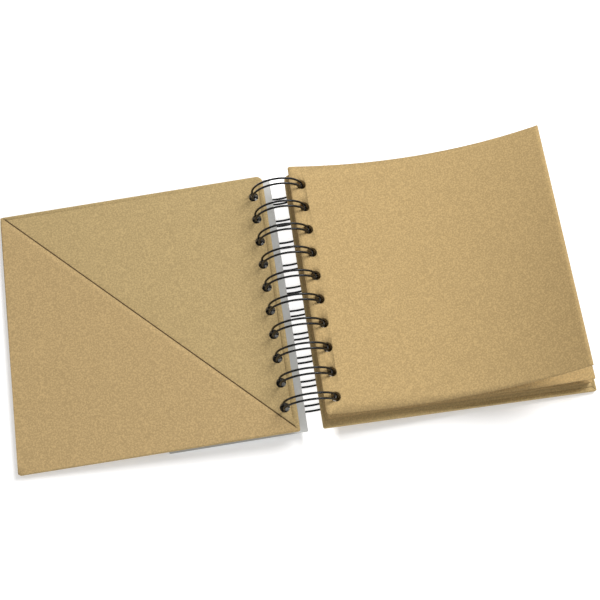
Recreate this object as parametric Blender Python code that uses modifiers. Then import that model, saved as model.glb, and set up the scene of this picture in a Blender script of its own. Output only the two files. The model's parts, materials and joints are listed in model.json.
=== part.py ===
"""Wire-bound square sketchbook, lying open with its front cover turned to the left.

The loops' axis runs along Y. A sheet on the binding is built flat in its own frame, with
the loops' axis as the origin, X pointing from the loops to the free edge and Z up through
the closed book, and is then turned about the axis to the side that it lies on.
"""

from math import asin, atan, atan2, cos, degrees, hypot, pi, radians, sin, sqrt

import bmesh
import bpy
from mathutils import Matrix, Vector

MM = 0.001

# Twin-loop binding: ten double loops at two to the inch
LOOP_COUNT = 10
LOOP_PITCH = 12.7 * MM
LOOP_RADIUS = 13.3 * MM
WIRE_DIAMETER = 1.1 * MM
TWIN_SPACING = 2.9 * MM
LOOPS_CENTRE_Y = 0.5 * MM
SEAM_START_DEG = -46.0
SEAM_END_DEG = 298.0
ARC_SEGMENTS = 15
BRIDGE_CORNER = 1.2 * MM

# Punched holes
HOLE_DIAMETER = 5.2 * MM
COVER_HOLE_SIDES = 10
LEAF_HOLE_SIDES = 8
FRONT_MARGIN = 5.9 * MM
BACK_MARGIN = 6.7 * MM
LEAF_MARGIN = 6.0 * MM
CARD_MARGIN = 7.1 * MM

# Covers: board in a kraft wrap that is turned in all round, and a liner over the turn-in
COVER_WIDTH = 140.4 * MM
COVER_HEIGHT = 138.4 * MM
BOARD_THICKNESS = 1.8 * MM
WRAP_THICKNESS = 0.25 * MM
LINER_THICKNESS = 0.2 * MM
SHEET_GAP = 0.1 * MM
TURN_IN = 12.0 * MM
FAR_SPINE_CORNER = 3.5 * MM
NEAR_SPINE_CORNER = 1.0 * MM
FORE_CORNER = 0.8 * MM
LEAST_SPINE_CORNER = 0.4 * MM
LEAST_FORE_CORNER = 0.2 * MM
LINER_INSET = 2.3 * MM
LINER_SPINE_INSET = 2.8 * MM
POCKET_RIM = 2.0 * MM
POCKET_ROOM = 0.55 * MM
POCKET_SHEET = 0.25 * MM
POCKET_TIP = 0.6 * MM
CUTTER_OVERRUN = 5.0 * MM

# Leaves, and the half-width card behind the front cover
LEAF_COUNT = 15
LEAF_WIDTH = 135.2 * MM
LEAF_HEIGHT = 133.3 * MM
LEAF_CENTRE_Y = 1.45 * MM
LEAF_THICKNESS = 0.2 * MM
LEAF_PITCH = 0.285 * MM
LEAF_CORNER = 1.5 * MM
LEAF_FORE_CORNER = 0.2 * MM
PUNCH_DEPTH = 6.0 * MM
CARD_WIDTH = 70.0 * MM
CARD_THICKNESS = 0.35 * MM
CARD_CORNER = 0.5 * MM

# Where each sheet's hole sits round the loops, counted from the right-hand horizontal
FRONT_HOLE_DEG = 198.0
CARD_HOLE_DEG = 222.0
BACK_HOLE_DEG = -31.0

# Curled top leaf: cubic Bezier profiles of its far and near edges, as X and Z in millimetres
# from the foot of the loops' axis
TOP_LEAF_START = (6.7, 20.4)
TOP_LEAF_FAR = (TOP_LEAF_START, (49.7, 7.9), (97.1, 8.3), (138.4, 30.1))
TOP_LEAF_NEAR = (TOP_LEAF_START, (50.4, 7.7), (97.4, 9.2), (133.1, 44.0))
BEZIER_STEPS = 200

# Second leaf: it lifts off the block towards its free edge
LIFT_START = 0.45
LIFT_FAR = 2.0 * MM
LIFT_NEAR = 5.5 * MM

AXIS_Z = LOOP_RADIUS + WIRE_DIAMETER / 2
WRAP_HALF = BOARD_THICKNESS / 2 + SHEET_GAP + WRAP_THICKNESS
LINER_LOW = WRAP_HALF + SHEET_GAP
LINER_TOP = LINER_LOW + LINER_THICKNESS
POCKET_TOP = LINER_LOW + POCKET_ROOM + POCKET_SHEET

KRAFT_WRAP = (0.50, 0.37, 0.20)
KRAFT_LINER = (0.48, 0.35, 0.19)
KRAFT_POCKET = (0.56, 0.42, 0.24)
KRAFT_LEAF = (0.52, 0.38, 0.21)
BOARD_GREY = (0.30, 0.25, 0.18)
CARD_WHITE = (0.62, 0.63, 0.64)
WIRE_BLACK = (0.03, 0.03, 0.035)


def clear_scene():
    """Remove every object that the scene holds."""
    for old in list(bpy.data.objects):
        bpy.data.objects.remove(old)


def new_collection(name):
    """Add a collection to the scene."""
    collection = bpy.data.collections.new(name)
    bpy.context.scene.collection.children.link(collection)
    return collection


def new_material(name, colour, roughness, metallic=0.0):
    """Make a plain Principled material."""
    material = bpy.data.materials.new(name)
    material.use_nodes = True
    shader = material.node_tree.nodes["Principled BSDF"]
    shader.inputs["Base Color"].default_value = (*colour, 1.0)
    shader.inputs["Roughness"].default_value = roughness
    shader.inputs["Metallic"].default_value = metallic
    material.diffuse_color = (*colour, 1.0)
    return material


def loop_centres():
    """Y of each double loop's middle, from the far end to the near end."""
    first = LOOPS_CENTRE_Y + LOOP_PITCH * (LOOP_COUNT - 1) / 2
    return [first - LOOP_PITCH * index for index in range(LOOP_COUNT)]


def rest_angle(hole_deg, reach, half_thickness):
    """Slope in degrees of a sheet whose hole is on the loops and whose free edge is at Z = 0."""
    hole_z = AXIS_Z + LOOP_RADIUS * sin(radians(hole_deg))
    slope = asin(hole_z / hypot(reach, half_thickness)) - atan(half_thickness / reach)
    return degrees(slope)


def hole_place(hole_deg, direction_deg):
    """A hole's X and Z in the frame of a sheet that points in the given direction."""
    turn = radians(hole_deg - direction_deg)
    return LOOP_RADIUS * cos(turn), LOOP_RADIUS * sin(turn)


def arc_points(centre_x, centre_y, radius, start_deg, end_deg, steps=3):
    """Points along a round corner."""
    points = []
    for step in range(steps + 1):
        angle = radians(start_deg + (end_deg - start_deg) * step / steps)
        points.append((centre_x + radius * cos(angle), centre_y + radius * sin(angle)))
    return points


def sheet_outline(x0, x1, y0, y1, near_spine, far_spine, fore):
    """A rectangle with its own corner radii at the spine (x0) and one at the free edge (x1)."""
    return (
        arc_points(x0 + near_spine, y0 + near_spine, near_spine, 180, 270)
        + arc_points(x1 - fore, y0 + fore, fore, 270, 360)
        + arc_points(x1 - fore, y1 - fore, fore, 0, 90)
        + arc_points(x0 + far_spine, y1 - far_spine, far_spine, 90, 180)
    )


def hole_outlines(hole_x, sides):
    """The outlines of the ten punched holes."""
    outlines = []
    for centre_y in loop_centres():
        circle = []
        for side in range(sides):
            angle = 2 * pi * (side + 0.5) / sides
            x = hole_x + HOLE_DIAMETER / 2 * cos(angle)
            y = centre_y + HOLE_DIAMETER / 2 * sin(angle)
            circle.append((x, y))
        outlines.append(circle)
    return outlines


def add_object(name, mesh, collection, material=None):
    """Put a mesh in a collection, with its material."""
    thing = bpy.data.objects.new(name, mesh)
    collection.objects.link(thing)
    if material:
        mesh.materials.append(material)
    return thing


def curve_to_mesh(name, curve):
    """Turn a curve into a closed mesh with welded caps."""
    holder = bpy.data.objects.new(name + "_curve", curve)
    bpy.context.scene.collection.objects.link(holder)
    evaluated = holder.evaluated_get(bpy.context.evaluated_depsgraph_get())
    mesh = bpy.data.meshes.new_from_object(evaluated)
    bpy.data.objects.remove(holder)
    mesh.name = name
    shape = bmesh.new()
    shape.from_mesh(mesh)
    bmesh.ops.remove_doubles(shape, verts=shape.verts, dist=0.01 * MM)
    bmesh.ops.recalc_face_normals(shape, faces=shape.faces)
    shape.to_mesh(mesh)
    shape.free()
    return mesh


def prism_mesh(name, outlines, low, high):
    """Extrude flat outlines from low to high along Z; an outline inside another is a hole."""
    curve = bpy.data.curves.new(name, "CURVE")
    curve.dimensions = "2D"
    curve.fill_mode = "BOTH"
    curve.extrude = (high - low) / 2
    for outline in outlines:
        spline = curve.splines.new("POLY")
        spline.points.add(len(outline) - 1)
        for point, (x, y) in zip(spline.points, outline):
            point.co = (x, y, 0.0, 1.0)
        spline.use_cyclic_u = True
    mesh = curve_to_mesh(name, curve)
    mesh.transform(Matrix.Translation((0, 0, (low + high) / 2)))
    return mesh


def add_cutter(name, mesh):
    """Make a hidden cutter."""
    cutter = add_object(name, mesh, cutters)
    cutter.hide_render = True
    cutter.display_type = "WIRE"
    return cutter


def cut(target, cutter):
    """Cut one object out of another."""
    modifier = target.modifiers.new(cutter.name, "BOOLEAN")
    modifier.operation = "DIFFERENCE"
    modifier.solver = "EXACT"
    modifier.object = cutter


def turn_to(thing, direction_deg):
    """Hang an object on the loops' axis, pointing in the given direction."""
    thing.parent = binding_axis
    thing.rotation_euler = (0.0, -radians(direction_deg), 0.0)


def span(centre, side, low, high):
    """Lowest and highest Z of a layer, counted from a sheet's middle towards one side."""
    return sorted((centre + side * low, centre + side * high))


def add_cover(name, hole_deg, direction_deg, margin, inner_side):
    """Board, wrap and liner of one cover; inner_side is +1 where the liner faces +Z."""
    hole_x, middle = hole_place(hole_deg, direction_deg)
    x0 = hole_x - margin
    x1 = x0 + COVER_WIDTH
    half_y = COVER_HEIGHT / 2
    holes = hole_outlines(hole_x, COVER_HOLE_SIDES)

    def outline(inset, spine_inset):
        near_spine = max(NEAR_SPINE_CORNER - inset, LEAST_SPINE_CORNER)
        far_spine = max(FAR_SPINE_CORNER - inset, LEAST_SPINE_CORNER)
        fore = max(FORE_CORNER - inset, LEAST_FORE_CORNER)
        return sheet_outline(x0 + spine_inset, x1 - inset, -half_y + inset, half_y - inset,
                             near_spine, far_spine, fore)

    half_board = BOARD_THICKNESS / 2
    wall = WRAP_THICKNESS + SHEET_GAP
    board_mesh = prism_mesh(name + "_board", [outline(wall, wall)] + holes, middle - half_board,
                            middle + half_board)
    board = add_object(name + "_board", board_mesh, sketchbook, board_material)

    wrap_mesh = prism_mesh(name + "_wrap", [outline(0.0, 0.0)] + holes, middle - WRAP_HALF,
                           middle + WRAP_HALF)
    wrap = add_object(name + "_wrap", wrap_mesh, sketchbook, wrap_material)
    hollow = WRAP_HALF - WRAP_THICKNESS
    cavity_outline = outline(WRAP_THICKNESS, WRAP_THICKNESS)
    cavity_mesh = prism_mesh(name + "_wrap_cavity", [cavity_outline], middle - hollow, middle + hollow)
    window_low, window_high = span(middle, inner_side, 0.0, 2 * WRAP_HALF)
    window_mesh = prism_mesh(name + "_wrap_window", [outline(TURN_IN, TURN_IN)], window_low,
                             window_high)
    for cutter_mesh in (cavity_mesh, window_mesh):
        cutter = add_cutter(cutter_mesh.name, cutter_mesh)
        turn_to(cutter, direction_deg)
        cut(wrap, cutter)

    liner_low, liner_high = span(middle, inner_side, LINER_LOW, LINER_TOP)
    liner_outline = outline(LINER_INSET, LINER_SPINE_INSET)
    liner_mesh = prism_mesh(name + "_liner", [liner_outline] + holes, liner_low, liner_high)
    liner = add_object(name + "_liner", liner_mesh, sketchbook, liner_material)

    for piece in (board, wrap, liner):
        turn_to(piece, direction_deg)


def add_corner_pocket(hole_deg, direction_deg):
    """Three-cornered paper pocket inside the front cover, open along its diagonal."""
    hole_x, middle = hole_place(hole_deg, direction_deg)
    x0 = hole_x - FRONT_MARGIN
    x1 = x0 + COVER_WIDTH
    half_y = COVER_HEIGHT / 2
    low, high = span(middle, -1, LINER_LOW, POCKET_TOP)
    outline = (
        arc_points(x1 - FORE_CORNER, -half_y + FORE_CORNER, FORE_CORNER, 270, 360)
        + [(x1, half_y - FORE_CORNER), (x1 - FORE_CORNER, half_y - FORE_CORNER)]
        + [(x0 + NEAR_SPINE_CORNER, -half_y + POCKET_TIP), (x0 + NEAR_SPINE_CORNER, -half_y)]
    )
    pocket_mesh = prism_mesh("corner_pocket", [outline], low, high)
    pocket = add_object("corner_pocket", pocket_mesh, sketchbook, pocket_material)

    inner_x = x1 - POCKET_RIM
    inner_y = -half_y + POCKET_RIM
    outer_x = x0 - CUTTER_OVERRUN
    outer_y = half_y + CUTTER_OVERRUN
    room_outline = [(outer_x, inner_y), (inner_x, inner_y), (inner_x, outer_y), (outer_x, outer_y)]
    room_low, room_high = span(middle, -1, 0.0, POCKET_TOP - POCKET_SHEET)
    room = add_cutter("corner_pocket_room",
                      prism_mesh("corner_pocket_room", [room_outline], room_low, room_high))
    cut(pocket, room)
    for thing in (pocket, room):
        turn_to(thing, direction_deg)


def add_backing_card(hole_deg, direction_deg):
    """Half-width card on the loops, behind the front cover."""
    hole_x, middle = hole_place(hole_deg, direction_deg)
    x0 = hole_x - CARD_MARGIN
    half_y = COVER_HEIGHT / 2
    outline = sheet_outline(x0, x0 + CARD_WIDTH, -half_y, half_y, CARD_CORNER,
                            CARD_CORNER, CARD_CORNER)
    mesh = prism_mesh("backing_card", [outline] + hole_outlines(hole_x, COVER_HOLE_SIDES),
                      middle - CARD_THICKNESS / 2, middle + CARD_THICKNESS / 2)
    card = add_object("backing_card", mesh, sketchbook, card_material)
    turn_to(card, direction_deg)


def leaf_name(number):
    """Leaves are counted from the top of the block."""
    return f"leaf_{number:02d}"


def leaf_level(number, back_middle):
    """Height of a leaf's middle in the back cover's frame."""
    bottom = back_middle + LINER_TOP + 2 * SHEET_GAP + LEAF_THICKNESS / 2
    return bottom + (LEAF_COUNT - number) * LEAF_PITCH


def add_flat_leaf(number, level, direction_deg):
    """One leaf lying flat in the block."""
    name = leaf_name(number)
    hole_x = sqrt(LOOP_RADIUS ** 2 - level ** 2)
    x0 = hole_x - LEAF_MARGIN
    y0 = LEAF_CENTRE_Y - LEAF_HEIGHT / 2
    outline = sheet_outline(x0, x0 + LEAF_WIDTH, y0, y0 + LEAF_HEIGHT, LEAF_CORNER, LEAF_CORNER,
                            LEAF_FORE_CORNER)
    mesh = prism_mesh(name, [outline] + hole_outlines(hole_x, LEAF_HOLE_SIDES),
                      level - LEAF_THICKNESS / 2, level + LEAF_THICKNESS / 2)
    turn_to(add_object(name, mesh, sketchbook, leaf_material), direction_deg)


def add_bent_leaf(number, place, hole_x, hole_z, hole_slope_deg, direction_deg, columns):
    """A leaf whose flat sheet is bent by place(along, across), both from 0 to 1."""
    name = leaf_name(number)
    bpy.ops.mesh.primitive_grid_add(x_subdivisions=columns, y_subdivisions=4, size=1.0)
    leaf = bpy.context.object
    leaf.name = name
    leaf.data.name = name
    for vertex in leaf.data.vertices:
        vertex.co = place(vertex.co.x + 0.5, vertex.co.y + 0.5)
    for collection in list(leaf.users_collection):
        collection.objects.unlink(leaf)
    sketchbook.objects.link(leaf)
    leaf.data.materials.append(leaf_material)
    solidify = leaf.modifiers.new("thickness", "SOLIDIFY")
    solidify.thickness = LEAF_THICKNESS
    solidify.offset = 0.0

    punches = bmesh.new()
    for centre_y in loop_centres():
        place_punch = (Matrix.Translation((hole_x, centre_y, hole_z))
                       @ Matrix.Rotation(radians(hole_slope_deg), 4, "Y")
                       @ Matrix.Rotation(pi / LEAF_HOLE_SIDES, 4, "Z"))
        bmesh.ops.create_cone(punches, cap_ends=True, segments=LEAF_HOLE_SIDES,
                              radius1=HOLE_DIAMETER / 2, radius2=HOLE_DIAMETER / 2,
                              depth=PUNCH_DEPTH, matrix=place_punch)
    punch_mesh = bpy.data.meshes.new(name + "_punches")
    punches.to_mesh(punch_mesh)
    punches.free()
    cutter = add_cutter(name + "_punches", punch_mesh)
    cut(leaf, cutter)
    for thing in (leaf, cutter):
        turn_to(thing, direction_deg)


def bezier(points, t):
    """A point on a cubic Bezier curve."""
    weights = ((1 - t) ** 3, 3 * t * (1 - t) ** 2, 3 * t * t * (1 - t), t ** 3)
    x = sum(weight * point[0] for weight, point in zip(weights, points))
    z = sum(weight * point[1] for weight, point in zip(weights, points))
    return x, z


def even_bezier(points, part):
    """The point at a given part of a cubic Bezier curve's length, and the way it heads."""
    samples = [bezier(points, step / BEZIER_STEPS) for step in range(BEZIER_STEPS + 1)]
    lengths = [0.0]
    for before, after in zip(samples, samples[1:]):
        lengths.append(lengths[-1] + hypot(after[0] - before[0], after[1] - before[1]))
    wanted = part * lengths[-1]
    index = 0
    while index < BEZIER_STEPS - 1 and lengths[index + 1] < wanted:
        index += 1
    share = (wanted - lengths[index]) / (lengths[index + 1] - lengths[index])
    before, after = samples[index], samples[index + 1]
    x = before[0] + share * (after[0] - before[0])
    z = before[1] + share * (after[1] - before[1])
    return x, z, atan2(after[1] - before[1], after[0] - before[0])


def top_leaf_point(along, across):
    """Where a point of the top leaf lies, from the loops' axis."""
    profile = []
    for near, far in zip(TOP_LEAF_NEAR, TOP_LEAF_FAR):
        profile.append((near[0] + across * (far[0] - near[0]), near[1] + across * (far[1] - near[1])))
    x, z, heading = even_bezier(profile, along)
    y = LEAF_CENTRE_Y + (across - 0.5) * LEAF_HEIGHT
    return Vector((x * MM, y, z * MM - AXIS_Z)), heading


def add_top_leaf():
    """The curled leaf that lies open on top of the block."""
    hole, heading = top_leaf_point(LEAF_MARGIN / LEAF_WIDTH, 0.5)
    add_bent_leaf(1, lambda along, across: top_leaf_point(along, across)[0], hole.x, hole.z,
                  -degrees(heading), 0.0, 15)


def add_second_leaf(level, direction_deg):
    """The leaf under the top one, lifted a little at its free edge."""
    hole_x = sqrt(LOOP_RADIUS ** 2 - level ** 2)

    def place(along, across):
        rise = max(0.0, (along - LIFT_START) / (1 - LIFT_START))
        lift = (LIFT_NEAR + across * (LIFT_FAR - LIFT_NEAR)) * rise ** 2
        x = hole_x - LEAF_MARGIN + along * LEAF_WIDTH
        y = LEAF_CENTRE_Y + (across - 0.5) * LEAF_HEIGHT
        return Vector((x, y, level + lift))

    add_bent_leaf(2, place, hole_x, level, 0.0, direction_deg, 10)


def on_loop(angle, y):
    """A point on the wire's cylinder."""
    return Vector((LOOP_RADIUS * cos(angle), y, LOOP_RADIUS * sin(angle)))


def wire_route():
    """The wire's centre line: up one side of each double loop, round its tip and back."""
    start, end = radians(SEAM_START_DEG), radians(SEAM_END_DEG)
    half = TWIN_SPACING / 2
    route = []
    centres = loop_centres()
    for number, centre_y in enumerate(centres):
        there = [start + (end - start) * step / ARC_SEGMENTS for step in range(ARC_SEGMENTS + 1)]
        route += [on_loop(angle, centre_y + half) for angle in there]
        for turn in (pi / 4, pi / 2, 3 * pi / 4):
            tip = end + half / LOOP_RADIUS * sin(turn)
            route.append(on_loop(tip, centre_y + half * cos(turn)))
        route += [on_loop(angle, centre_y - half) for angle in reversed(there)]
        if number == len(centres) - 1:
            break
        next_y = centres[number + 1] + half
        for turn in (pi / 4, pi / 2):
            bend = start - BRIDGE_CORNER / LOOP_RADIUS * sin(turn)
            route.append(on_loop(bend, centre_y - half - BRIDGE_CORNER * (1 - cos(turn))))
        for turn in (pi / 2, pi / 4):
            bend = start - BRIDGE_CORNER / LOOP_RADIUS * sin(turn)
            route.append(on_loop(bend, next_y + BRIDGE_CORNER * (1 - cos(turn))))
    return route


def add_wire():
    """The one long wire that makes all ten double loops."""
    curve = bpy.data.curves.new("twin_loop_wire", "CURVE")
    curve.dimensions = "3D"
    curve.bevel_depth = WIRE_DIAMETER / 2
    curve.bevel_resolution = 2
    curve.use_fill_caps = True
    route = wire_route()
    spline = curve.splines.new("POLY")
    spline.points.add(len(route) - 1)
    for point, place in zip(spline.points, route):
        point.co = (*place, 1.0)
    wire = add_object("twin_loop_wire", curve_to_mesh("twin_loop_wire", curve), sketchbook,
                      wire_material)
    wire.data.shade_smooth()
    turn_to(wire, 0.0)


def end_x(hole_deg, direction_deg, margin, level):
    """World X, from the loops' axis, of a cover's free edge at a level above its middle."""
    hole_x, middle = hole_place(hole_deg, direction_deg)
    reach = hole_x - margin + COVER_WIDTH
    turn = radians(direction_deg)
    return reach * cos(turn) - (middle + level) * sin(turn)


clear_scene()
sketchbook = new_collection("sketchbook")
cutters = new_collection("cutters")

wrap_material = new_material("kraft_wrap", KRAFT_WRAP, 0.85)
liner_material = new_material("kraft_liner", KRAFT_LINER, 0.88)
pocket_material = new_material("kraft_pocket", KRAFT_POCKET, 0.85)
leaf_material = new_material("kraft_leaf", KRAFT_LEAF, 0.9)
board_material = new_material("grey_board", BOARD_GREY, 0.92)
card_material = new_material("white_card", CARD_WHITE, 0.6)
wire_material = new_material("coated_wire", WIRE_BLACK, 0.35, 0.6)

front_direction = 180.0 + rest_angle(FRONT_HOLE_DEG, COVER_WIDTH - FRONT_MARGIN, WRAP_HALF)
back_direction = -rest_angle(BACK_HOLE_DEG, COVER_WIDTH - BACK_MARGIN, WRAP_HALF)
card_direction = 180.0 + rest_angle(CARD_HOLE_DEG, CARD_WIDTH - CARD_MARGIN, CARD_THICKNESS / 2)

left_end = end_x(FRONT_HOLE_DEG, front_direction, FRONT_MARGIN, -POCKET_TOP)
right_end = end_x(BACK_HOLE_DEG, back_direction, BACK_MARGIN, WRAP_HALF)
binding_axis = bpy.data.objects.new("binding_axis", None)
binding_axis.location = (-(left_end + right_end) / 2, 0.0, AXIS_Z)
sketchbook.objects.link(binding_axis)

add_wire()
add_cover("back", BACK_HOLE_DEG, back_direction, BACK_MARGIN, 1)
add_cover("front", FRONT_HOLE_DEG, front_direction, FRONT_MARGIN, -1)
add_corner_pocket(FRONT_HOLE_DEG, front_direction)
add_backing_card(CARD_HOLE_DEG, card_direction)
back_middle = hole_place(BACK_HOLE_DEG, back_direction)[1]
for leaf_number in range(LEAF_COUNT, 2, -1):
    add_flat_leaf(leaf_number, leaf_level(leaf_number, back_middle), back_direction)
add_second_leaf(leaf_level(2, back_middle), back_direction)
add_top_leaf()
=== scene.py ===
"""Looks of the wire-bound kraft sketchbook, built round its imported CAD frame.

Sheets are built in the frame of the loops' axis, as in the CAD: X points from the loops to a
sheet's free edge, Y along the binding and Z up through the closed book. Each sheet is then
turned about the axis to the side that it lies on.
"""

import json
import random
from math import asin, atan, cos, degrees, hypot, pi, radians, sin, sqrt

import bmesh
import bpy
from mathutils import Matrix, Vector


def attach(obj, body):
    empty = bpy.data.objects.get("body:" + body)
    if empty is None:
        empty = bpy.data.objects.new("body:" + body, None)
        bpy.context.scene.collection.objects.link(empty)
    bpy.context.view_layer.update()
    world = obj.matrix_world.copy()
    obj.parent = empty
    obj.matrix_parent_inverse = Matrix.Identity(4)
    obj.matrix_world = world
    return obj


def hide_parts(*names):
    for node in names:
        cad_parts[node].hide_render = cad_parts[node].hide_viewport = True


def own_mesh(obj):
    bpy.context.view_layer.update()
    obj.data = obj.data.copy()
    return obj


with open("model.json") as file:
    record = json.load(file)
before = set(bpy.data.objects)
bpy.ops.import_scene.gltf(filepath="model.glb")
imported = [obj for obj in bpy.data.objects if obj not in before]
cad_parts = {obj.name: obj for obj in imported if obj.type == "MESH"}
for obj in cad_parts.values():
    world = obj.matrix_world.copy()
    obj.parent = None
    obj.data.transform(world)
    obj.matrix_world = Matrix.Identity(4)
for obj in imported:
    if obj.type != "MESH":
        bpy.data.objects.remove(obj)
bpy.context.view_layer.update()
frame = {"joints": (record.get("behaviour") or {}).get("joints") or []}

MM = 0.001

# Binding, as in the CAD
LOOP_COUNT = 10
LOOP_PITCH = 12.7 * MM
LOOP_RADIUS = 13.3 * MM
WIRE_DIAMETER = 1.1 * MM
TWIN_SPACING = 2.9 * MM
LOOPS_CENTRE_Y = 0.5 * MM
SEAM_START_DEG = -46.0
SEAM_END_DEG = 298.0
BRIDGE_CORNER = 1.2 * MM
HOLE_RADIUS = 2.55 * MM
FRONT_MARGIN = 5.9 * MM
BACK_MARGIN = 6.7 * MM
LEAF_MARGIN = 6.0 * MM
CARD_MARGIN = 7.1 * MM

# Sheets, as in the CAD
COVER_WIDTH = 140.4 * MM
COVER_HEIGHT = 138.4 * MM
BOARD_THICKNESS = 1.8 * MM
WRAP_THICKNESS = 0.25 * MM
LINER_THICKNESS = 0.2 * MM
SHEET_GAP = 0.1 * MM
TURN_IN = 12.0 * MM
FAR_SPINE_CORNER = 3.5 * MM
NEAR_SPINE_CORNER = 1.0 * MM
FORE_CORNER = 0.8 * MM
LINER_INSET = 2.3 * MM
LINER_SPINE_INSET = 2.8 * MM
POCKET_ROOM = 0.55 * MM
POCKET_SHEET = 0.25 * MM
LEAF_COUNT = 15
LEAF_WIDTH = 135.2 * MM
LEAF_HEIGHT = 133.3 * MM
LEAF_CENTRE_Y = 1.45 * MM
LEAF_THICKNESS = 0.2 * MM
LEAF_PITCH = 0.285 * MM
LEAF_CORNER = 1.5 * MM
CARD_WIDTH = 70.0 * MM
CARD_THICKNESS = 0.35 * MM
FRONT_HOLE_DEG = 198.0
CARD_HOLE_DEG = 222.0
BACK_HOLE_DEG = -31.0
TOP_LEAF_START = (6.7, 20.4)
TOP_LEAF_FAR = (TOP_LEAF_START, (49.7, 7.9), (97.1, 8.3), (138.4, 30.1))
TOP_LEAF_NEAR = (TOP_LEAF_START, (50.4, 7.7), (97.4, 9.2), (133.1, 44.0))
LIFT_START = 0.45
LIFT_FAR = 2.0 * MM
LIFT_NEAR = 5.5 * MM

# Finer shape than the CAD has
HOLE_SIDES = 32
CORNER_STEPS = 8
WRAP_EDGE_RADIUS = 0.55 * MM
MITRE_SLIT = 0.3 * MM
POCKET_BOW = 0.45 * MM
RIM_RECESS = 0.5 * MM
RIM_WIDTH = 1.4 * MM
RIM_STOP = 3 * (RIM_RECESS + RIM_WIDTH)
# Painted shadow: a dark strip under the pocket's edge that shows beyond it as a shadow line along
# the diagonal
SHADOW_STRIP_SHOW = 0.75 * MM
SHADOW_STRIP_HIDDEN = 1.2 * MM
SHADOW_STRIP_TAPER = 6.0 * MM
SHADOW_STRIP_TIP = 1.5 * MM
SHADOW_STRIP_THICKNESS = 0.15 * MM
SHADOW_STRIP_GAP = 0.03 * MM
LEAST_SPINE_CORNER = 0.4 * MM
LEAST_FORE_CORNER = 0.15 * MM
WRAP_EDGE_STEPS = 6
MITRE_STOP = 0.9 * MM
POCKET_TIP = 0.6 * MM
POCKET_BOW_REACH = 0.55
POCKET_BOW_POWER = 0.8
POCKET_GRID = 36
CARD_CORNER = 0.5 * MM
LEAF_FORE_CORNER = 0.3 * MM
JOG_X = 0.22 * MM
JOG_Y = 0.2 * MM
JOG_SEED = 7
SECOND_LEAF_GRID = (48, 6)
TOP_LEAF_GRID = (60, 12)
BEZIER_STEPS = 200
LOOP_STEPS = 72
WIRE_CORNER_STEPS = 6
WIRE_BEVEL_STEPS = 4
CUT_TOLERANCE = 1e-6

# Painted shade on the card beside its holes, where the front cover's holes look down on it. Start
# and end are X in the open book.
PAINTED_SHADE_START = -8.5 * MM
PAINTED_SHADE_END = -17.0 * MM
PAINTED_SHADE_HALF_WIDTH = 3.2 * MM
PAINTED_SHADE_FADE = 0.8 * MM
PAINTED_SHADE_DEPTH = 0.92

# Turn of each set of paper fibres in degrees, and a shift that makes the set its own
FIBRE_DIRECTIONS = ((12, 0), (74, 31), (-48, 63), (130, 17))

# Stage. The floor glows a little, more in the slot under the binding and not at all under the
# front cover's holes. Places are X of the rising and falling edges and how far out Y reaches.
FLOOR_SIZE = 6.0
FLOOR_DROP = 0.2 * MM
FLOOR_GLOW = 0.18
SLOT_GLOW = 0.55
SLOT_RISE = (-5.5 * MM, -3.0 * MM)
SLOT_FALL = (10.0 * MM, 14.0 * MM)
SLOT_ENDS = (70.0 * MM, 85.0 * MM)
HOLES_RISE = (-20.0 * MM, -17.0 * MM)
HOLES_FALL = (-6.0 * MM, -4.5 * MM)
HOLES_ENDS = (64.0 * MM, 70.0 * MM)
WORLD_STRENGTH = 0.50
# Name, place, width in metres and power in watts
LIGHTS = (("key", (0.66, 0.48, 0.88), 0.7, 14.2),
          ("fill", (-0.25, -0.85, 0.75), 0.9, 2.5))

# Camera, angles in degrees and lens in millimetres
CAMERA_AIM = (0.00461, 0.00121, 0.0)
CAMERA_AZIMUTH = 9.505
CAMERA_ELEVATION = 71.737
CAMERA_ROLL = 1.015
CAMERA_DISTANCE = 0.56886
CAMERA_LENS = 65.49
CAMERA_SENSOR = 36.0

WRAP_HALF = BOARD_THICKNESS / 2 + SHEET_GAP + WRAP_THICKNESS
LINER_LOW = WRAP_HALF + SHEET_GAP
LINER_TOP = LINER_LOW + LINER_THICKNESS
POCKET_TOP = LINER_LOW + POCKET_ROOM + POCKET_SHEET

hinge = next(joint for joint in frame["joints"] if joint["name"] == "front_cover_hinge")
AXIS = Vector(hinge["pos_m"])
AXIS_Z = AXIS.z


# ---------------------------------------------------------------- places on the binding


def loop_centres():
    """Y of each double loop's middle, from the far end to the near end."""
    first = LOOPS_CENTRE_Y + LOOP_PITCH * (LOOP_COUNT - 1) / 2
    return [first - LOOP_PITCH * index for index in range(LOOP_COUNT)]


def rest_angle(hole_deg, reach, half_thickness):
    """Slope in degrees of a sheet whose hole is on the loops and whose free edge is at Z = 0."""
    hole_z = AXIS_Z + LOOP_RADIUS * sin(radians(hole_deg))
    return degrees(asin(hole_z / hypot(reach, half_thickness)) - atan(half_thickness / reach))


def hole_place(hole_deg, direction_deg):
    """A hole's X and Z in the frame of a sheet that points in the given direction."""
    turn = radians(hole_deg - direction_deg)
    return LOOP_RADIUS * cos(turn), LOOP_RADIUS * sin(turn)


FRONT_DIRECTION = 180.0 + rest_angle(FRONT_HOLE_DEG, COVER_WIDTH - FRONT_MARGIN, WRAP_HALF)
BACK_DIRECTION = -rest_angle(BACK_HOLE_DEG, COVER_WIDTH - BACK_MARGIN, WRAP_HALF)
CARD_DIRECTION = 180.0 + rest_angle(CARD_HOLE_DEG, CARD_WIDTH - CARD_MARGIN, CARD_THICKNESS / 2)


# ---------------------------------------------------------------- node material helpers


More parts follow.
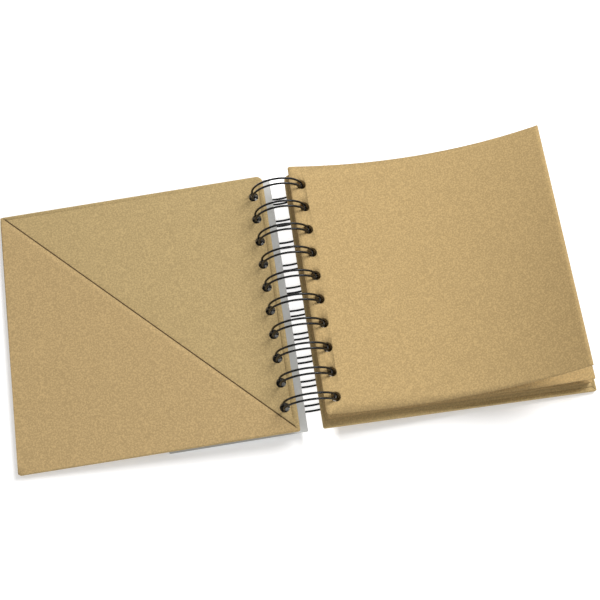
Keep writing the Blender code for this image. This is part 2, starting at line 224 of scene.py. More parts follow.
class Nodes:
    """Short calls for building a material's node tree."""

    def __init__(self, name):
        self.material = bpy.data.materials.new(name)
        self.material.use_nodes = True
        self.tree = self.material.node_tree
        self.shader = self.tree.nodes["Principled BSDF"]
        coordinates = self.add("ShaderNodeTexCoord").outputs
        self.place = coordinates["Object"]
        self.normal = coordinates["Normal"]

    def add(self, kind, **settings):
        node = self.tree.nodes.new(kind)
        for key, value in settings.items():
            setattr(node, key, value)
        return node

    def link(self, source, target):
        self.tree.links.new(source, target)

    def set(self, socket, value):
        if isinstance(value, bpy.types.NodeSocket):
            self.link(value, socket)
        else:
            socket.default_value = value

    def parts(self, vector):
        node = self.add("ShaderNodeSeparateXYZ")
        self.link(vector, node.inputs["Vector"])
        return node.outputs

    def mapped(self, scale, turn=(0, 0, 0), shift=(0, 0, 0)):
        node = self.add("ShaderNodeMapping")
        self.link(self.place, node.inputs["Vector"])
        node.inputs["Scale"].default_value = scale
        node.inputs["Rotation"].default_value = [radians(angle) for angle in turn]
        node.inputs["Location"].default_value = shift
        return node.outputs["Vector"]

    def noise(self, scale, detail, roughness, vector=None, distortion=0.0):
        node = self.add("ShaderNodeTexNoise")
        self.link(vector or self.place, node.inputs["Vector"])
        node.inputs["Scale"].default_value = scale
        node.inputs["Detail"].default_value = detail
        node.inputs["Roughness"].default_value = roughness
        node.inputs["Distortion"].default_value = distortion
        return node.outputs["Fac"]

    def cells(self, scale, output="Distance"):
        node = self.add("ShaderNodeTexVoronoi")
        self.link(self.place, node.inputs["Vector"])
        node.inputs["Scale"].default_value = scale
        return node.outputs[output]

    def ramp(self, value, low, high, out_low=0.0, out_high=1.0):
        node = self.add("ShaderNodeMapRange")
        node.clamp = True
        self.link(value, node.inputs["Value"])
        for socket, number in zip(node.inputs[1:5], (low, high, out_low, out_high)):
            socket.default_value = number
        return node.outputs["Result"]

    def band(self, value, rise, fall):
        """1 between two soft edges, 0 outside them."""
        return self.math("MULTIPLY", self.ramp(value, *rise), self.ramp(value, *fall, 1.0, 0.0))

    def math(self, operation, first, second=0.0):
        node = self.add("ShaderNodeMath", operation=operation)
        self.set(node.inputs[0], first)
        self.set(node.inputs[1], second)
        return node.outputs["Value"]

    def mix(self, factor, first, second):
        node = self.add("ShaderNodeMix", data_type="RGBA")
        self.set(node.inputs["Factor"], factor)
        for socket, colour in ((node.inputs[6], first), (node.inputs[7], second)):
            self.set(socket, colour if isinstance(colour, bpy.types.NodeSocket) else (*colour, 1.0))
        return node.outputs[2]

    def bump(self, height, strength, distance):
        node = self.add("ShaderNodeBump")
        self.link(height, node.inputs["Height"])
        node.inputs["Strength"].default_value = strength
        node.inputs["Distance"].default_value = distance
        self.link(node.outputs["Normal"], self.shader.inputs["Normal"])


def shade(colour, factor):
    """A colour, lighter or darker."""
    return tuple(channel * factor for channel in colour)


def kraft_material(name, colour, grain=1.0, fleck=1.0):
    """Uncoated kraft paper: cloudy pulp, short crossing fibres, flecks and a faint tooth."""
    nodes = Nodes(name)
    cloud = nodes.noise(scale=90, detail=4, roughness=0.6)
    pulp = nodes.noise(scale=420, detail=6, roughness=0.65)
    mottle = nodes.noise(scale=1250, detail=2, roughness=0.55)
    tooth = nodes.noise(scale=2600, detail=3, roughness=0.6)

    # Colour, from the broadest variation to the finest
    base = nodes.mix(nodes.ramp(cloud, 0.3, 0.7), shade(colour, 0.955), shade(colour, 1.045))
    base = nodes.mix(nodes.ramp(pulp, 0.36, 0.64, 0.0, 0.6 * grain), base, shade(colour, 0.86))
    base = nodes.mix(nodes.ramp(mottle, 0.40, 0.52, 0.75 * grain, 0.0), base, shade(colour, 0.78))
    base = nodes.mix(nodes.ramp(mottle, 0.50, 0.64, 0.0, 0.75 * grain), base, shade(colour, 1.27))
    base = nodes.mix(nodes.ramp(tooth, 0.35, 0.68, 0.0, 0.45 * grain), base, shade(colour, 1.17))

    # Dark fibres in several directions, then fewer pale ones
    fibres = None
    for turn, lean in FIBRE_DIRECTIONS:
        stretched = nodes.mapped(scale=(700, 6500, 900), turn=(0, 0, turn),
                                 shift=(lean, turn, lean))
        strands = nodes.noise(scale=1.0, detail=1.5, roughness=0.5, vector=stretched,
                              distortion=0.25)
        thin = nodes.ramp(strands, 0.66, 0.71)
        fibres = thin if fibres is None else nodes.math("MAXIMUM", fibres, thin)
    patchy = nodes.ramp(nodes.noise(scale=300, detail=2, roughness=0.5), 0.42, 0.6)
    dark_fibres = nodes.math("MULTIPLY", fibres, patchy)
    base = nodes.mix(nodes.math("MULTIPLY", dark_fibres, 0.35 * fleck), base, shade(colour, 0.52))

    pale = nodes.mapped(scale=(900, 5200, 800), turn=(0, 0, 38), shift=(5, 9, 2))
    pale_strands = nodes.noise(scale=1.0, detail=1.5, roughness=0.5, vector=pale, distortion=0.3)
    pale_fibres = nodes.ramp(pale_strands, 0.68, 0.73)
    base = nodes.mix(nodes.math("MULTIPLY", pale_fibres, 0.4 * fleck), base, shade(colour, 1.32))

    # Dark specks in some of the cells
    spots = nodes.ramp(nodes.cells(520), 0.05, 0.12, 1.0, 0.0)
    chosen = nodes.ramp(nodes.cells(520, "Color"), 0.72, 0.78)
    specks = nodes.math("MULTIPLY", spots, chosen)
    base = nodes.mix(nodes.math("MULTIPLY", specks, 0.6 * fleck), base, shade(colour, 0.4))
    nodes.link(base, nodes.shader.inputs["Base Color"])

    nodes.link(nodes.ramp(pulp, 0.3, 0.7, 0.78, 0.94), nodes.shader.inputs["Roughness"])
    relief = nodes.math("ADD", nodes.math("MULTIPLY", tooth, 0.6),
                        nodes.math("MULTIPLY", fibres, 0.5))
    relief = nodes.math("ADD", relief, pulp)
    nodes.bump(relief, strength=0.35, distance=0.06 * MM)
    nodes.shader.inputs["Specular IOR Level"].default_value = 0.25
    return nodes.material


def board_material():
    """Raw greyboard, seen in the punched holes."""
    nodes = Nodes("greyboard")
    stacked = nodes.mapped(scale=(500, 500, 4200))
    layers = nodes.noise(scale=1.0, detail=4, roughness=0.6, vector=stacked)
    fibres = nodes.noise(scale=1800, detail=4, roughness=0.6)
    base = nodes.mix(nodes.ramp(layers, 0.3, 0.7), (0.20, 0.165, 0.115), (0.36, 0.30, 0.21))
    base = nodes.mix(nodes.ramp(fibres, 0.4, 0.7, 0.0, 0.5), base, (0.45, 0.39, 0.29))
    nodes.link(base, nodes.shader.inputs["Base Color"])
    nodes.link(nodes.ramp(fibres, 0.3, 0.7, 0.82, 0.95), nodes.shader.inputs["Roughness"])
    nodes.bump(nodes.math("ADD", layers, fibres), strength=0.5, distance=0.1 * MM)
    return nodes.material


def card_material():
    """Smooth light grey card with a faint mottle and painted shade beside its holes on its upper
    face.
    """
    nodes = Nodes("grey_card")
    cloud = nodes.noise(scale=340, detail=4, roughness=0.55)
    tooth = nodes.noise(scale=2400, detail=3, roughness=0.6)
    base = nodes.mix(nodes.ramp(cloud, 0.35, 0.65), (0.575, 0.585, 0.575), (0.605, 0.615, 0.60))
    base = nodes.mix(nodes.ramp(tooth, 0.4, 0.65, 0.0, 0.4), base, (0.64, 0.65, 0.64))

    x, y, _ = nodes.parts(nodes.place)
    # Painted shade: near-black patches beside the holes, on faces that look up
    painted_shade = nodes.band(x, (PAINTED_SHADE_END - PAINTED_SHADE_FADE, PAINTED_SHADE_END), (PAINTED_SHADE_START - PAINTED_SHADE_FADE, PAINTED_SHADE_START))
    along = nodes.math("SUBTRACT", y, LOOPS_CENTRE_Y + LOOP_PITCH / 2)
    from_loop = nodes.math("PINGPONG", along, LOOP_PITCH / 2)
    edge = LOOP_PITCH / 2 - PAINTED_SHADE_HALF_WIDTH
    near_loop = nodes.ramp(from_loop, edge - PAINTED_SHADE_FADE, edge, 1.0, 0.0)
    painted_shade = nodes.math("MULTIPLY", painted_shade, near_loop)
    last_loop = LOOP_PITCH * (LOOP_COUNT - 1) / 2 + PAINTED_SHADE_HALF_WIDTH
    off_centre = nodes.math("ABSOLUTE", nodes.math("SUBTRACT", y, LOOPS_CENTRE_Y))
    painted_shade = nodes.math("MULTIPLY", painted_shade,
                        nodes.ramp(off_centre, last_loop, last_loop + PAINTED_SHADE_FADE, 1.0, 0.0))
    _, _, facing = nodes.parts(nodes.normal)
    painted_shade = nodes.math("MULTIPLY", painted_shade, nodes.ramp(facing, 0.2, 0.6))
    # Mix in the painted shade
    base = nodes.mix(nodes.math("MULTIPLY", painted_shade, PAINTED_SHADE_DEPTH), base, (0.03, 0.028, 0.026))
    nodes.link(base, nodes.shader.inputs["Base Color"])
    nodes.link(nodes.ramp(tooth, 0.3, 0.7, 0.5, 0.62), nodes.shader.inputs["Roughness"])
    nodes.bump(tooth, strength=0.15, distance=0.03 * MM)
    return nodes.material


def wire_material():
    """Black nylon coating on steel wire, satin, worn a little greyer here and there."""
    nodes = Nodes("black_coated_wire")
    rub = nodes.noise(scale=260, detail=4, roughness=0.6)
    orange_peel = nodes.noise(scale=3200, detail=2, roughness=0.5)
    base = nodes.mix(nodes.ramp(rub, 0.55, 0.75), (0.0035, 0.0034, 0.0036), (0.012, 0.0115, 0.011))
    nodes.link(base, nodes.shader.inputs["Base Color"])
    nodes.link(nodes.ramp(rub, 0.35, 0.75, 0.20, 0.34), nodes.shader.inputs["Roughness"])
    nodes.bump(orange_peel, strength=0.12, distance=0.02 * MM)
    nodes.shader.inputs["Specular IOR Level"].default_value = 0.32
    return nodes.material


# ---------------------------------------------------------------- mesh helpers


def arc_points(centre_x, centre_y, radius, start_deg, end_deg):
    """Points along a round corner."""
    points = []
    for step in range(CORNER_STEPS + 1):
        angle = radians(start_deg + (end_deg - start_deg) * step / CORNER_STEPS)
        points.append((centre_x + radius * cos(angle), centre_y + radius * sin(angle)))
    return points


def sheet_outline(x0, x1, y0, y1, near_spine, far_spine, fore):
    """A rectangle with its own corner radii at the spine (x0) and one at the free edge (x1)."""
    return (
        arc_points(x0 + near_spine, y0 + near_spine, near_spine, 180, 270)
        + arc_points(x1 - fore, y0 + fore, fore, 270, 360)
        + arc_points(x1 - fore, y1 - fore, fore, 0, 90)
        + arc_points(x0 + far_spine, y1 - far_spine, far_spine, 90, 180)
    )


def hole_outlines(hole_x):
    """The outlines of the ten punched holes."""
    outlines = []
    turns = [2 * pi * side / HOLE_SIDES for side in range(HOLE_SIDES)]
    for centre_y in loop_centres():
        outlines.append([(hole_x + HOLE_RADIUS * cos(turn), centre_y + HOLE_RADIUS * sin(turn))
                         for turn in turns])
    return outlines


def add_loop(shape, points, level):
    """Add a closed ring of vertices and edges at a height; returns the vertices."""
    ring = [shape.verts.new((x, y, level)) for x, y in points]
    for before, after in zip(ring, ring[1:] + ring[:1]):
        shape.edges.new((before, after))
    return ring


def ring_edges(shape, ring):
    """The edges that join a ring's vertices."""
    return [shape.edges.get((before, after)) for before, after in zip(ring, ring[1:] + ring[:1])]


def fill_flat(shape, rings, upward):
    """Fill the flat area between rings, facing up or down."""
    edges = [edge for ring in rings for edge in ring_edges(shape, ring)]
    made = bmesh.ops.triangle_fill(shape, use_beauty=True, use_dissolve=False, edges=edges)
    for item in made["geom"]:
        if isinstance(item, bmesh.types.BMFace):
            item.normal_update()
            if (item.normal.z > 0) != upward:
                item.normal_flip()


def bridge(shape, lower, upper):
    """Join two rings with quads, facing away from the area that they go round anticlockwise."""
    count = len(lower)
    for index in range(count):
        after = (index + 1) % count
        shape.faces.new((lower[index], lower[after], upper[after], upper[index]))


def finish_mesh(name, shape, direction_deg, material, sharp_deg):
    """Make an object of a sheet built in the loops' frame."""
    mesh = bpy.data.meshes.new(name)
    shape.to_mesh(mesh)
    shape.free()
    mesh.transform(Matrix.Translation(AXIS) @ Matrix.Rotation(-radians(direction_deg), 4, "Y"))
    thing = bpy.data.objects.new(name, mesh)
    bpy.context.scene.collection.objects.link(thing)
    mesh.materials.append(material)
    mesh.shade_smooth()
    mesh.set_sharp_from_angle(angle=radians(sharp_deg))
    return thing


def divide(shape, x_lines, y_lines):
    """Cut every face along lines of constant X and Y, so that the sheet can bend."""
    for normal, places in (((1, 0, 0), x_lines), ((0, 1, 0), y_lines)):
        for place in places:
            geometry = shape.verts[:] + shape.edges[:] + shape.faces[:]
            point = Vector(normal) * place
            bmesh.ops.bisect_plane(shape, geom=geometry, plane_co=point, plane_no=normal,
                                   dist=CUT_TOLERANCE)


def spread(low, high, count):
    """Evenly spaced values between two ends, without the ends."""
    return [low + (high - low) * step / count for step in range(1, count)]


def flat_plate(name, rings, low, high, direction_deg, material):
    """A flat plate with crisp edges: rings[0] is its outline, the others its holes."""
    shape = bmesh.new()
    lower = [add_loop(shape, ring, low) for ring in rings]
    upper = [add_loop(shape, ring, high) for ring in rings]
    fill_flat(shape, lower, False)
    fill_flat(shape, upper, True)
    for low_ring, high_ring in zip(lower, upper):
        bridge(shape, low_ring, high_ring)
    bmesh.ops.recalc_face_normals(shape, faces=shape.faces)
    return finish_mesh(name, shape, direction_deg, material, sharp_deg=35.0)


def bent_sheet(name, rings, place, thickness, direction_deg, material, columns, rows):
    """A thin sheet cut from flat paper and bent by place(x, y), with its thickness added."""
    shape = bmesh.new()
    fill_flat(shape, [add_loop(shape, ring, 0.0) for ring in rings], True)
    divide(shape, columns, rows)
    for vertex in shape.verts:
        vertex.co = place(vertex.co.x, vertex.co.y)
    thing = finish_mesh(name, shape, direction_deg, material, sharp_deg=60.0)
    solidify = thing.modifiers.new("thickness", "SOLIDIFY")
    solidify.thickness = thickness
    solidify.offset = 0.0
    return thing


# ---------------------------------------------------------------- covers


def cover_outline(x0, inset, spine_inset=None):
    """A cover's outline, inset from its edges."""
    half_y = COVER_HEIGHT / 2
    near_spine = max(NEAR_SPINE_CORNER - inset, LEAST_SPINE_CORNER)
    far_spine = max(FAR_SPINE_CORNER - inset, LEAST_SPINE_CORNER)
    fore = max(FORE_CORNER - inset, LEAST_FORE_CORNER)
    spine_x = x0 + (inset if spine_inset is None else spine_inset)
    return sheet_outline(spine_x, x0 + COVER_WIDTH - inset, -half_y + inset, half_y - inset,
                         near_spine, far_spine, fore)


def window_outline(x0):
    """The turn-in's inner edge, with a fine mitre slit towards each corner at the free edge."""
    half_y = COVER_HEIGHT / 2 - TURN_IN
    low_x, high_x = x0 + TURN_IN, x0 + COVER_WIDTH - TURN_IN
    reach = TURN_IN - MITRE_STOP
    side = MITRE_SLIT / 2 / sqrt(2)
    points = [(low_x, -half_y), (high_x - 2 * side, -half_y)]
    tip_x, tip_y = high_x + reach, half_y + reach
    points += [(tip_x - side, -tip_y - side), (tip_x + side, -tip_y + side)]
    points += [(high_x, -half_y + 2 * side), (high_x, half_y - 2 * side)]
    points += [(tip_x + side, tip_y - side), (tip_x - side, tip_y + side)]
    points += [(high_x - 2 * side, half_y), (low_x, half_y)]
    return points


def wrap_piece(name, x0, hole_x, middle, inner_side, direction_deg, material):
    """Kraft paper glued round the board, its edges rounded and its turn-ins mitred."""
    shape = bmesh.new()
    rings = []
    for step in range(WRAP_EDGE_STEPS + 1):
        turn = pi / 2 * step / WRAP_EDGE_STEPS
        inset = WRAP_EDGE_RADIUS * (1 - sin(turn))
        level = -WRAP_HALF + WRAP_EDGE_RADIUS * (1 - cos(turn))
        rings.append((inset, level))
    rings += [(inset, -level) for inset, level in reversed(rings)]
    made = []
    for inset, level in rings:
        made.append(add_loop(shape, cover_outline(x0, inset), middle + inner_side * level))
    for before, after in zip(made, made[1:]):
        bridge(shape, before, after)
    outer_level = middle - inner_side * WRAP_HALF
    inner_level = middle + inner_side * WRAP_HALF
    outer_holes = [add_loop(shape, ring, outer_level) for ring in hole_outlines(hole_x)]
    inner_holes = [add_loop(shape, ring, inner_level) for ring in hole_outlines(hole_x)]
    window = add_loop(shape, window_outline(x0), inner_level)
    fill_flat(shape, [made[0]] + outer_holes, inner_side < 0)
    fill_flat(shape, [made[-1], window] + inner_holes, inner_side > 0)
    bmesh.ops.recalc_face_normals(shape, faces=shape.faces)
    outer_face = max(shape.faces, key=lambda face: face.calc_area())
    wanted = outer_face.calc_center_median().z - middle
    if outer_face.normal.z * wanted < 0:
        bmesh.ops.reverse_faces(shape, faces=shape.faces)
    thing = finish_mesh(name, shape, direction_deg, material, sharp_deg=50.0)
    solidify = thing.modifiers.new("paper", "SOLIDIFY")
    solidify.thickness = WRAP_THICKNESS
    solidify.offset = -1.0
    return thing


def make_cover(side, hole_deg, direction_deg, margin, inner_side, body):
    """Board, wrap and liner of one cover."""
    hole_x, middle = hole_place(hole_deg, direction_deg)
    x0 = hole_x - margin
    wall = WRAP_THICKNESS + SHEET_GAP
    half_board = BOARD_THICKNESS / 2
    board_ring = cover_outline(x0, wall)
    board = flat_plate(side + "_greyboard", [board_ring] + hole_outlines(hole_x),
                       middle - half_board, middle + half_board, direction_deg, greyboard)
    wrap = wrap_piece(side + "_kraft_wrap", x0, hole_x, middle, inner_side, direction_deg,
                      kraft_wrap)
    low, high = sorted((middle + inner_side * LINER_LOW, middle + inner_side * LINER_TOP))
    liner_ring = cover_outline(x0, LINER_INSET, LINER_SPINE_INSET)
    liner = flat_plate(side + "_kraft_liner", [liner_ring] + hole_outlines(hole_x), low, high,
                       direction_deg, kraft_liner)
    for piece, node, slot in ((board, "_board", "board"), (wrap, "_wrap", "kraft_wrap"),
                              (liner, "_liner", "kraft_liner")):
        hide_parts(side + node)
        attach(piece, body)


def make_pocket():
    """The corner pocket: a paper triangle, bowed a little along its edge, over a dark strip of
    painted shadow.
    """
    hole_x, middle = hole_place(FRONT_HOLE_DEG, FRONT_DIRECTION)
    x0 = hole_x - FRONT_MARGIN
    x1 = x0 + COVER_WIDTH
    half_y = COVER_HEIGHT / 2
    start = Vector((x0 + NEAR_SPINE_CORNER, -half_y + POCKET_TIP))
    end = Vector((x1 - FORE_CORNER, half_y - FORE_CORNER))
    outline = arc_points(x1 - FORE_CORNER, -half_y + FORE_CORNER, FORE_CORNER, 270, 360)
    outline += [(x1, half_y - FORE_CORNER), tuple(end), tuple(start), (start.x, -half_y)]
    along = (end - start).normalized()
    across = Vector((along.y, -along.x))
    level = middle - POCKET_TOP + POCKET_SHEET / 2

    def place(x, y):
        offset = Vector((x, y)) - start
        run = min(max(offset.dot(along) / (end - start).length, 0.0), 1.0)
        depth = min(max(offset.dot(across) / (POCKET_BOW_REACH * COVER_WIDTH), 0.0), 1.0)
        bow = POCKET_BOW * sin(pi * run) ** POCKET_BOW_POWER * (1 - depth) ** 2
        return Vector((x, y, level - bow))

    sheet = bent_sheet("corner_pocket_sheet", [outline], place, POCKET_SHEET, FRONT_DIRECTION,
                       kraft_pocket, spread(x0, x1, POCKET_GRID),
                       spread(-half_y, half_y, POCKET_GRID))

    low, high = middle - LINER_LOW - POCKET_ROOM, middle - LINER_LOW
    near, far = RIM_RECESS, RIM_RECESS + RIM_WIDTH
    rim_x, rim_y = start.x + RIM_STOP, half_y - RIM_STOP
    rim = [(rim_x, -half_y + near), (x1 - near, -half_y + near), (x1 - near, rim_y),
           (x1 - far, rim_y), (x1 - far, -half_y + far), (rim_x, -half_y + far)]
    glue = flat_plate("corner_pocket_rim", [rim], low, high, FRONT_DIRECTION, kraft_pocket)
    # A dark strip under the pocket's edge: painted shadow along the diagonal
    ends = (start + along * far / 2, end - along * far / 2)
    inner = (ends[0] + along * SHADOW_STRIP_TAPER, ends[1] - along * SHADOW_STRIP_TAPER)
    shadow_strip_ring = [tuple(inner[0] + across * SHADOW_STRIP_HIDDEN), tuple(inner[1] + across * SHADOW_STRIP_HIDDEN),
                 tuple(ends[1]), tuple(ends[1] - along * SHADOW_STRIP_TIP - across * SHADOW_STRIP_SHOW),
                 tuple(ends[0] + along * SHADOW_STRIP_TIP - across * SHADOW_STRIP_SHOW), tuple(ends[0])]
    shadow_strip_high = middle - LINER_TOP - SHADOW_STRIP_GAP
    shadow_strip = flat_plate("corner_pocket_painted_shadow", [shadow_strip_ring], shadow_strip_high - SHADOW_STRIP_THICKNESS, shadow_strip_high,
                      FRONT_DIRECTION, painted_shadow_kraft)
    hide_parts("corner_pocket")
    for piece in (sheet, glue, shadow_strip):
        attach(piece, "front_cover")


def make_backing_card():
    """The half-width card behind the front cover."""
    hole_x, middle = hole_place(CARD_HOLE_DEG, CARD_DIRECTION)
    x0 = hole_x - CARD_MARGIN
    half_y = COVER_HEIGHT / 2
    outline = sheet_outline(x0, x0 + CARD_WIDTH, -half_y, half_y, *[CARD_CORNER] * 3)
    card = flat_plate("backing_card_sheet", [outline] + hole_outlines(hole_x),
                      middle - CARD_THICKNESS / 2, middle + CARD_THICKNESS / 2, CARD_DIRECTION,
                      grey_card)
    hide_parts("backing_card")
    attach(card, "backing_card")


# ---------------------------------------------------------------- leaves


def leaf_name(number):
    """Leaves are counted from the top of the block."""
    return f"leaf_{number:02d}"


def leaf_level(number):
    """Height of a leaf's middle in the back cover's frame."""
    back_middle = hole_place(BACK_HOLE_DEG, BACK_DIRECTION)[1]
    bottom = back_middle + LINER_TOP + 2 * SHEET_GAP + LEAF_THICKNESS / 2
    return bottom + (LEAF_COUNT - number) * LEAF_PITCH


def leaf_rings(x0, shift_x=0.0, shift_y=0.0):
    """A leaf's outline and holes."""
    y0 = LEAF_CENTRE_Y - LEAF_HEIGHT / 2
    outline = sheet_outline(x0 + shift_x, x0 + shift_x + LEAF_WIDTH, y0 + shift_y,
                            y0 + shift_y + LEAF_HEIGHT, LEAF_CORNER, LEAF_CORNER, LEAF_FORE_CORNER)
    return [outline] + hole_outlines(x0 + LEAF_MARGIN)


def keep_leaf(piece, number):
    """Let a leaf's piece stand for its node."""
    name = leaf_name(number)
    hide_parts(name)
    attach(piece, name)


def make_flat_leaf(number, draw):
    """One leaf in the block, jogged a little out of line with the others."""
    level = leaf_level(number)
    x0 = sqrt(LOOP_RADIUS ** 2 - level ** 2) - LEAF_MARGIN
    rings = leaf_rings(x0, draw.uniform(-JOG_X, JOG_X), draw.uniform(-JOG_Y, JOG_Y))
    leaf = flat_plate(leaf_name(number) + "_sheet", rings, level - LEAF_THICKNESS / 2,
                      level + LEAF_THICKNESS / 2, BACK_DIRECTION, kraft_leaf)
    keep_leaf(leaf, number)


def make_second_leaf():
    """The leaf under the top one, lifted a little at its free edge."""
    level = leaf_level(2)
    x0 = sqrt(LOOP_RADIUS ** 2 - level ** 2) - LEAF_MARGIN
    y0 = LEAF_CENTRE_Y - LEAF_HEIGHT / 2

    def place(x, y):
        along = (x - x0) / LEAF_WIDTH
        across = (y - y0) / LEAF_HEIGHT
        rise = max(0.0, (along - LIFT_START) / (1 - LIFT_START))
        lift = (LIFT_NEAR + across * (LIFT_FAR - LIFT_NEAR)) * rise ** 2
        return Vector((x, y, level + lift))

    columns, rows = SECOND_LEAF_GRID
    leaf = bent_sheet(leaf_name(2) + "_sheet", leaf_rings(x0), place, LEAF_THICKNESS,
                      BACK_DIRECTION, kraft_leaf, spread(x0, x0 + LEAF_WIDTH, columns),
                      spread(y0, y0 + LEAF_HEIGHT, rows))
    keep_leaf(leaf, 2)


def bezier(points, t):
    """A point on a cubic Bezier curve."""
    weights = ((1 - t) ** 3, 3 * t * (1 - t) ** 2, 3 * t * t * (1 - t), t ** 3)
    x = sum(weight * point[0] for weight, point in zip(weights, points))
    z = sum(weight * point[1] for weight, point in zip(weights, points))
    return x, z


def even_bezier(points, part):
    """The point at a given part of a cubic Bezier curve's length."""
    samples = [bezier(points, step / BEZIER_STEPS) for step in range(BEZIER_STEPS + 1)]
    lengths = [0.0]
    for before, after in zip(samples, samples[1:]):
        lengths.append(lengths[-1] + hypot(after[0] - before[0], after[1] - before[1]))
    wanted = part * lengths[-1]
    index = 0
    while index < BEZIER_STEPS - 1 and lengths[index + 1] < wanted:
        index += 1
    share = (wanted - lengths[index]) / (lengths[index + 1] - lengths[index])
    before, after = samples[index], samples[index + 1]
    return before[0] + share * (after[0] - before[0]), before[1] + share * (after[1] - before[1])


def top_leaf_point(along, across):
    """Where a point of the top leaf lies, from the loops' axis."""
    profile = []
    for near, far in zip(TOP_LEAF_NEAR, TOP_LEAF_FAR):
        profile.append((near[0] + across * (far[0] - near[0]),
                        near[1] + across * (far[1] - near[1])))
    x, z = even_bezier(profile, along)
    y = LEAF_CENTRE_Y + (across - 0.5) * LEAF_HEIGHT
    return Vector((x * MM, y, z * MM - AXIS_Z))


def make_top_leaf():
    """The curled leaf that lies open on the block; it flattens as the front cover closes."""
    y0 = LEAF_CENTRE_Y - LEAF_HEIGHT / 2
    known = {}

    def place(x, y):
        key = (round(x / MM, 4), round(y / MM, 4))
        if key not in known:
            known[key] = top_leaf_point(x / LEAF_WIDTH, (y - y0) / LEAF_HEIGHT)
        return known[key]

    columns, rows = TOP_LEAF_GRID
    leaf = bent_sheet(leaf_name(1) + "_sheet", leaf_rings(0.0), place, LEAF_THICKNESS, 0.0,
                      kraft_leaf, spread(0.0, LEAF_WIDTH, columns),
                      spread(y0, y0 + LEAF_HEIGHT, rows))
    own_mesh(leaf)
    keep_leaf(leaf, 1)


# ---------------------------------------------------------------- binding wire


def on_loop(angle, y):
    """A point on the wire's cylinder."""
    return Vector((LOOP_RADIUS * cos(angle), y, LOOP_RADIUS * sin(angle)))


def wire_route():
    """The wire's centre line: up one side of each double loop, round its tip and back."""
    start, end = radians(SEAM_START_DEG), radians(SEAM_END_DEG)
    half = TWIN_SPACING / 2
    route = []
    centres = loop_centres()
    for number, centre_y in enumerate(centres):
        there = [start + (end - start) * step / LOOP_STEPS for step in range(LOOP_STEPS + 1)]
        route += [on_loop(angle, centre_y + half) for angle in there]
        for step in range(1, 2 * WIRE_CORNER_STEPS):
            turn = pi * step / (2 * WIRE_CORNER_STEPS)
            tip = end + half / LOOP_RADIUS * sin(turn)
            route.append(on_loop(tip, centre_y + half * cos(turn)))
        route += [on_loop(angle, centre_y - half) for angle in reversed(there)]
        if number == len(centres) - 1:
            break
        next_y = centres[number + 1] + half
        turns = [pi / 2 * step / WIRE_CORNER_STEPS for step in range(1, WIRE_CORNER_STEPS + 1)]
        for turn in turns:
            bend = start - BRIDGE_CORNER / LOOP_RADIUS * sin(turn)
            route.append(on_loop(bend, centre_y - half - BRIDGE_CORNER * (1 - cos(turn))))
        for turn in reversed(turns):
            bend = start - BRIDGE_CORNER / LOOP_RADIUS * sin(turn)
            route.append(on_loop(bend, next_y + BRIDGE_CORNER * (1 - cos(turn))))
    return route


def make_wire():
    """The one long coated wire that makes all ten double loops."""
    curve = bpy.data.curves.new("coated_wire", "CURVE")
    curve.dimensions = "3D"
    curve.bevel_depth = WIRE_DIAMETER / 2
    curve.bevel_resolution = WIRE_BEVEL_STEPS
    curve.use_fill_caps = True
    route = wire_route()
    spline = curve.splines.new("POLY")
    spline.points.add(len(route) - 1)
    for point, place in zip(spline.points, route):
        point.co = (*(place + AXIS), 1.0)
    holder = bpy.data.objects.new("coated_wire_curve", curve)
    bpy.context.scene.collection.objects.link(holder)
    evaluated = holder.evaluated_get(bpy.context.evaluated_depsgraph_get())
    mesh = bpy.data.meshes.new_from_object(evaluated)
    bpy.data.objects.remove(holder)
    mesh.shade_smooth()
    mesh.materials.clear()
    mesh.materials.append(coated_wire)
    wire = bpy.data.objects.new("coated_wire", mesh)
    bpy.context.scene.collection.objects.link(wire)
    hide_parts("twin_loop_wire")
    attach(wire, "root")


# ---------------------------------------------------------------- stage


def make_floor():
    """A pale floor that glows unevenly, to match the white that the photo is cut out on."""
    bpy.ops.mesh.primitive_plane_add(size=FLOOR_SIZE, location=(0, 0, -FLOOR_DROP))
    floor = bpy.context.object
    floor.name = "studio_floor"
    nodes = Nodes("studio_white")
    nodes.shader.inputs["Base Color"].default_value = (0.93, 0.93, 0.93, 1.0)
    nodes.shader.inputs["Roughness"].default_value = 0.9
    nodes.shader.inputs["Specular IOR Level"].default_value = 0.1
    nodes.shader.inputs["Emission Color"].default_value = (1.0, 1.0, 1.0, 1.0)
    x, y, _ = nodes.parts(nodes.place)
    out = nodes.math("ABSOLUTE", y)
    slot = nodes.math("MULTIPLY", nodes.band(x, SLOT_RISE, SLOT_FALL),
                      nodes.ramp(out, *SLOT_ENDS, 1.0, 0.0))
    under = nodes.math("MULTIPLY", nodes.band(x, HOLES_RISE, HOLES_FALL),
                       nodes.ramp(out, *HOLES_ENDS, 1.0, 0.0))
    glow = nodes.math("ADD", nodes.math("MULTIPLY", slot, SLOT_GLOW), FLOOR_GLOW)
    glow = nodes.math("SUBTRACT", glow, nodes.math("MULTIPLY", under, FLOOR_GLOW))
    nodes.link(glow, nodes.shader.inputs["Emission Strength"])
    floor.data.materials.append(nodes.material)


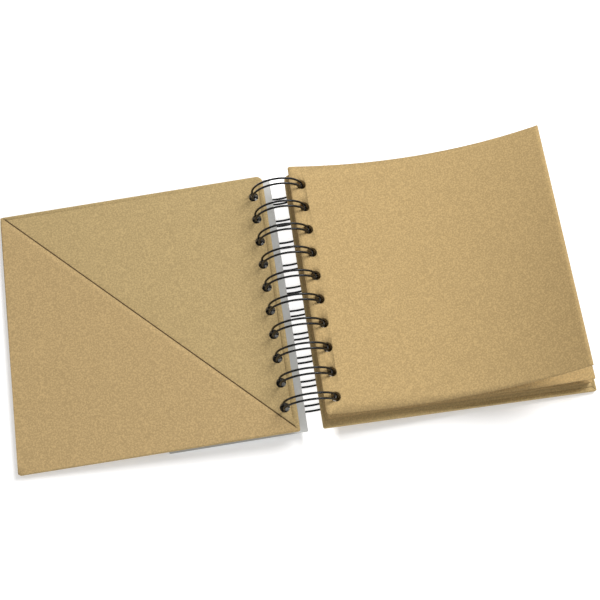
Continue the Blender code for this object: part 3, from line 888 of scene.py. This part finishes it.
def make_lights():
    """Even studio surroundings, one soft key light and a weak fill."""
    world = bpy.data.worlds.new("studio")
    bpy.context.scene.world = world
    world.use_nodes = True
    background = world.node_tree.nodes["Background"]
    background.inputs["Color"].default_value = (1.0, 1.0, 1.0, 1.0)
    background.inputs["Strength"].default_value = WORLD_STRENGTH

    for name, place, size, power in LIGHTS:
        light = bpy.data.lights.new(name, "AREA")
        light.shape = "DISK"
        light.size = size
        light.energy = power
        lamp = bpy.data.objects.new(name, light)
        lamp.location = place
        lamp.rotation_euler = (-Vector(place)).to_track_quat("-Z", "Y").to_euler()
        bpy.context.scene.collection.objects.link(lamp)


def make_camera():
    """The camera, looking down at the open book from its near side."""
    camera = bpy.data.cameras.new("camera")
    camera.sensor_width = CAMERA_SENSOR
    camera.lens = CAMERA_LENS
    holder = bpy.data.objects.new("camera", camera)
    azimuth, elevation = radians(CAMERA_AZIMUTH), radians(CAMERA_ELEVATION)
    ahead = Vector((sin(azimuth) * cos(elevation), cos(azimuth) * cos(elevation), -sin(elevation)))
    holder.location = Vector(CAMERA_AIM) - ahead * CAMERA_DISTANCE
    level = ahead.to_track_quat("-Z", "Y").to_matrix()
    holder.rotation_euler = (level @ Matrix.Rotation(radians(CAMERA_ROLL), 3, "Z")).to_euler()
    bpy.context.scene.collection.objects.link(holder)
    bpy.context.scene.camera = holder


# The colours below were chosen under this transform
bpy.context.scene.view_settings.view_transform = "Standard"

kraft_wrap = kraft_material("kraft_wrap_paper", (0.416, 0.304, 0.140))
kraft_liner = kraft_material("kraft_liner_paper", (0.416, 0.303, 0.140))
kraft_pocket = kraft_material("kraft_pocket_paper", (0.423, 0.296, 0.1365))
# Painted shadow colour for the strip along the pocket's edge
painted_shadow_kraft = kraft_material("painted_pocket_shadow", (0.105, 0.068, 0.029))
kraft_leaf = kraft_material("kraft_leaf_paper", (0.426, 0.297, 0.132))
greyboard = board_material()
grey_card = card_material()
coated_wire = wire_material()

make_floor()
make_lights()
make_camera()
make_cover("back", BACK_HOLE_DEG, BACK_DIRECTION, BACK_MARGIN, 1, "root")
make_cover("front", FRONT_HOLE_DEG, FRONT_DIRECTION, FRONT_MARGIN, -1, "front_cover")
make_pocket()
make_backing_card()
jog = random.Random(JOG_SEED)
for leaf_number in range(LEAF_COUNT, 2, -1):
    make_flat_leaf(leaf_number, jog)
make_second_leaf()
make_top_leaf()
make_wire()
